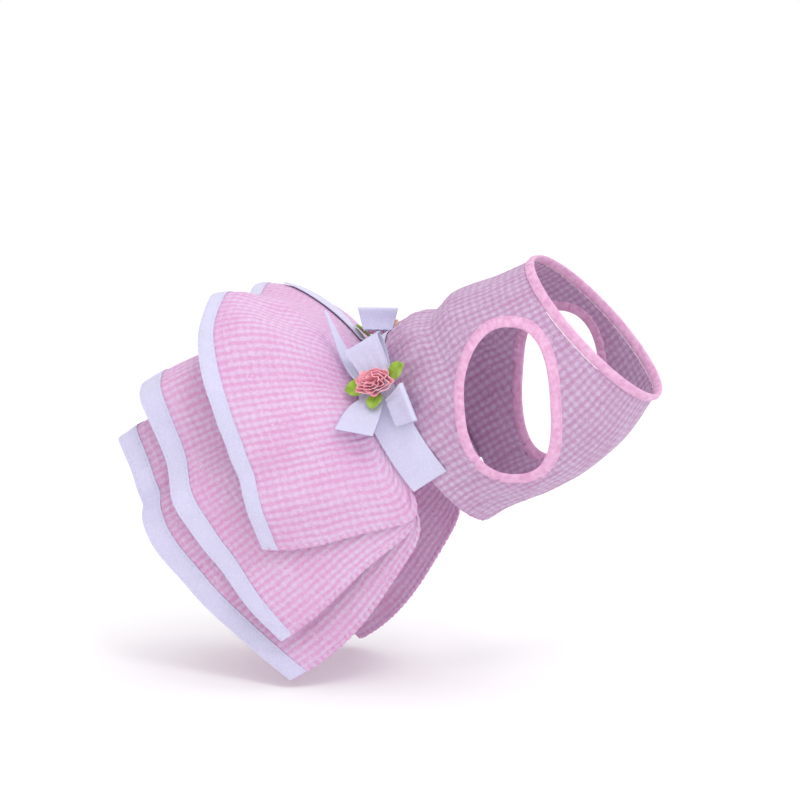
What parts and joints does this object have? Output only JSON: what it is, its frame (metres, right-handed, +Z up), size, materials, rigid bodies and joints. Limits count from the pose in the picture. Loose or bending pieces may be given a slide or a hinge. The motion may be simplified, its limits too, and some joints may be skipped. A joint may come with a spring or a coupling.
{
  "type": "dog dress",
  "caption": "Small sleeveless dog dress of gingham with a ribbon sash, fabric rose bows and a gathered ruffle skirt with ribbon hems.",
  "frame": {"origin": "centre of the trunk hollow at the waist seam, under the middle of the sash", "axes": "+X toward the neck end, +Y toward the far side of the dress as the picture shows it, +Z up; the trunk rises toward the neck"},
  "size_m": [0.3009, 0.1568, 0.2322],
  "materials": {
    "gingham": "puckered cotton seersucker in fine pink and white checks, matt",
    "binding": "folded pink cotton bias binding, matt",
    "ribbon": "pale lavender ribbon with a fine grain and a soft satin sheen",
    "rose": "salmon pink satin ribbon wound into a rose",
    "leaf": "yellow-green satin leaf"
  },
  "bodies": {
    "root": {"bodice": "gingham", "armhole_binding_near": "binding", "armhole_binding_far": "binding", "neck_binding": "binding", "sash": "ribbon", "skirt_tier_top": "gingham", "skirt_tier_middle": "gingham", "skirt_tier_bottom": "gingham", "hem_ribbon_top": "ribbon", "hem_ribbon_middle": "ribbon", "hem_ribbon_bottom": "ribbon", "near_bow_loop_upper": "ribbon", "near_bow_loop_lower": "ribbon", "near_bow_tail_long": "ribbon", "near_bow_tail_short": "ribbon", "near_bow_rose": "rose", "near_bow_leaf_1": "leaf", "near_bow_leaf_2": "leaf", "near_bow_leaf_3": "leaf", "far_bow_loop_upper": "ribbon", "far_bow_loop_lower": "ribbon", "far_bow_tail_long": "ribbon", "far_bow_tail_short": "ribbon", "far_bow_rose": "rose", "far_bow_leaf_1": "leaf", "far_bow_leaf_2": "leaf", "far_bow_leaf_3": "leaf"}
  },
  "joints": []
}
